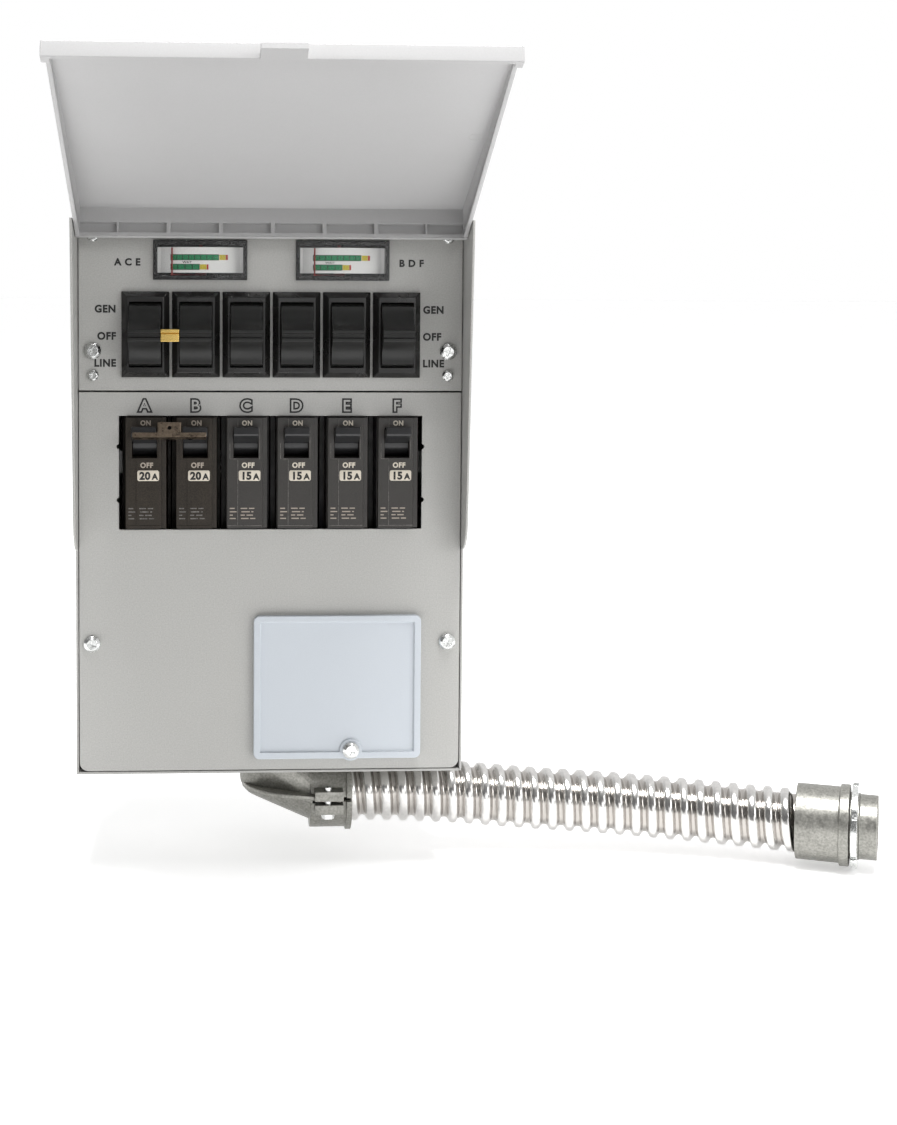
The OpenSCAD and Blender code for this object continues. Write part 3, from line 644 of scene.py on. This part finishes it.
def arc_strip(x, radius, low, high, start, end):
    """Thin curved strip around a dial's axis, from start to end in millimetres along X."""
    turn = [math.asin(value / radius) for value in (start, end)]
    bpy.ops.object.select_all(action="DESELECT")
    bpy.ops.mesh.primitive_plane_add(size=1)
    strip = bpy.context.object
    mode("EDIT")
    bpy.ops.mesh.select_all(action="SELECT")
    bpy.ops.mesh.merge(type="COLLAPSE")
    foot = Vector((x + radius * math.sin(turn[1]), DIAL_AXIS_Y - radius * math.cos(turn[1]), low))
    mode("OBJECT")
    strip.data.vertices[0].co = foot * MM
    mode("EDIT")
    bpy.ops.mesh.select_all(action="SELECT")
    bpy.ops.mesh.extrude_vertices_move(
        TRANSFORM_OT_translate={"value": (0, 0, (high - low) * MM)})
    bpy.ops.mesh.select_all(action="SELECT")
    bpy.ops.mesh.spin(steps=max(2, round(abs(end - start) / 0.8)), angle=turn[1] - turn[0],
                      center=(x * MM, DIAL_AXIS_Y * MM, 0), axis=(0, 0, 1))
    mode("OBJECT")
    wall = strip.modifiers.new("wall", "SOLIDIFY")
    wall.thickness = 0.05 * MM
    wall.offset = 0
    bpy.ops.object.modifier_apply(modifier=wall.name)
    return strip


def meter_print(side):
    """Two scales on the dial: green, yellow and red blocks on a black ground, and one word."""
    x = centre_x("meter_case_" + side)
    r = DIAL_R + PRINT_GAP
    greens = [arc_strip(x, r, *UPPER_BAND, -14.6 + 3.0 * k, -11.9 + 3.0 * k) for k in range(8)]
    greens += [arc_strip(x, r, *LOWER_BAND, -14.6 + 3.6 * k, -11.4 + 3.6 * k) for k in range(4)]
    finished(joined(greens, "scale_green_" + side), "enclosure", PRINT_GREEN)
    yellows = [arc_strip(x, r, *UPPER_BAND, 9.5, 12.6), arc_strip(x, r, *LOWER_BAND, -0.2, 3.1)]
    finished(joined(yellows, "scale_yellow_" + side), "enclosure", PRINT_YELLOW)
    reds = [arc_strip(x, r, *UPPER_BAND, 12.7, 13.8), arc_strip(x, r, *LOWER_BAND, 3.2, 4.1)]
    finished(joined(reds, "scale_red_" + side), "enclosure", PRINT_RED)
    marks = [arc_strip(x, r - PRINT_GAP / 2, band[0] - BAND_EDGE, band[1] + BAND_EDGE, -14.9, end)
             for band, end in ((UPPER_BAND, 9.3), (LOWER_BAND, -0.3))]
    finished(joined(marks, "scale_ground_" + side), "enclosure", PRINT_BLACK)
    words = lettering("WATTS", 1.1, (x - 5.6, DIAL_AXIS_Y - DIAL_R + 0.35, 118.75), 0.06, 0.02,
                      wide=1.3)
    finished(words, "enclosure", PRINT_BLACK).name = "scale_words_" + side


for side in SIDES:
    refined("meter_case_" + side, "enclosure", METER_BLACK, 0.25)
    refined("meter_cover_" + side, "enclosure", METER_CLEAR, 0.3, 3)
    refined("meter_dial_" + side, "enclosure", DIAL_WHITE_PAINTED_GLOW, 0.05, 1)
    refined("meter_needle_" + side, "needle_" + side, NEEDLE_RED, 0.06, 1)
    meter_print(side)

# ---------- parts inside the cabinet ----------
for name, material in (("switch_terminals", TIE_BRASS), ("meter_terminals", TIE_BRASS),
                       ("breaker_rail", RAIL_STEEL), ("breaker_lugs", SCREW_ZINC),
                       ("neutral_bar", BAR_ALUMINIUM), ("ground_lug", GROUND_GREEN),
                       ("wires_black", WIRE_BLACK), ("wires_red", WIRE_RED),
                       ("elbow_locknut", SCREW_ZINC)):
    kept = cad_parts[name]
    kept.data.materials.clear()
    kept.data.materials.append(material)


# ---------- floor and light ----------
FLOOR_FADE = (-0.85, -0.35)  # the floor turns from dark to white over this range of Y, in metres


def make_floor():
    """Floor that glows white under and behind the piece, and turns dark in front of it."""
    bpy.ops.object.select_all(action="DESELECT")
    bpy.ops.mesh.primitive_plane_add(size=60, location=(0, 0, cad_low.z - 0.0005))
    floor = bpy.context.object
    floor.name = "floor"
    pale = surface("floor_pale", (0.88, 0.88, 0.88), 0.8, grain=40, grain_depth=0.01, cloud=2,
                   cloud_depth=0.01)
    tree = pale.node_tree
    shader = tree.nodes["Principled BSDF"]
    place = node(tree, "ShaderNodeTexCoord")
    split = node(tree, "ShaderNodeSeparateXYZ")
    tree.links.new(place.outputs["Object"], split.inputs["Vector"])
    near = spread(tree, split.outputs["Y"], 0, 1, *FLOOR_FADE)
    white = shader.inputs["Base Color"].links[0].from_socket
    tree.links.new(mixed(tree, near, (0.22, 0.22, 0.22), white), shader.inputs["Base Color"])
    shader.inputs["Emission Color"].default_value = (1, 1, 1, 1)
    glow = spread(tree, split.outputs["Y"], 0, 0.40, *FLOOR_FADE)
    tree.links.new(glow, shader.inputs["Emission Strength"])
    floor.data.materials.append(pale)


def softbox(name, place, size, power, target=(0, -0.06, 0.02)):
    data = bpy.data.lights.new(name, "AREA")
    data.shape = "SQUARE"
    data.size = size
    data.energy = power
    lamp = bpy.data.objects.new(name, data)
    bpy.context.scene.collection.objects.link(lamp)
    back = Vector(place) - Vector(target)
    turn = back.to_track_quat("Z", "Y").to_matrix().to_4x4()
    lamp.matrix_world = Matrix.Translation(place) @ turn


def make_sky():
    """White surroundings behind and to the right, darker to the front and left."""
    world = bpy.data.worlds.new("studio")
    world.use_nodes = True
    bpy.context.scene.world = world
    tree = world.node_tree
    place = node(tree, "ShaderNodeTexCoord")
    turned = node(tree, "ShaderNodeVectorMath", operation="DOT_PRODUCT")
    turned.inputs[1].default_value = (0.6, 0.8, 0)
    tree.links.new(place.outputs["Generated"], turned.inputs[0])
    light = spread(tree, turned.outputs["Value"], 0.20, 1.0, -0.7, 0.5)
    ground = tree.nodes["Background"]
    ground.inputs["Color"].default_value = (1, 1, 1, 1)
    tree.links.new(light, ground.inputs["Strength"])


make_floor()
make_sky()
softbox("key", (1.45, -1.65, 0.70), 0.9, 12.5)
softbox("fill", (0.45, -2.1, -0.05), 1.0, 5.5)
softbox("overhead", (0.1, -0.70, 1.9), 0.8, 62)
bpy.context.scene.view_settings.view_transform = "Standard"
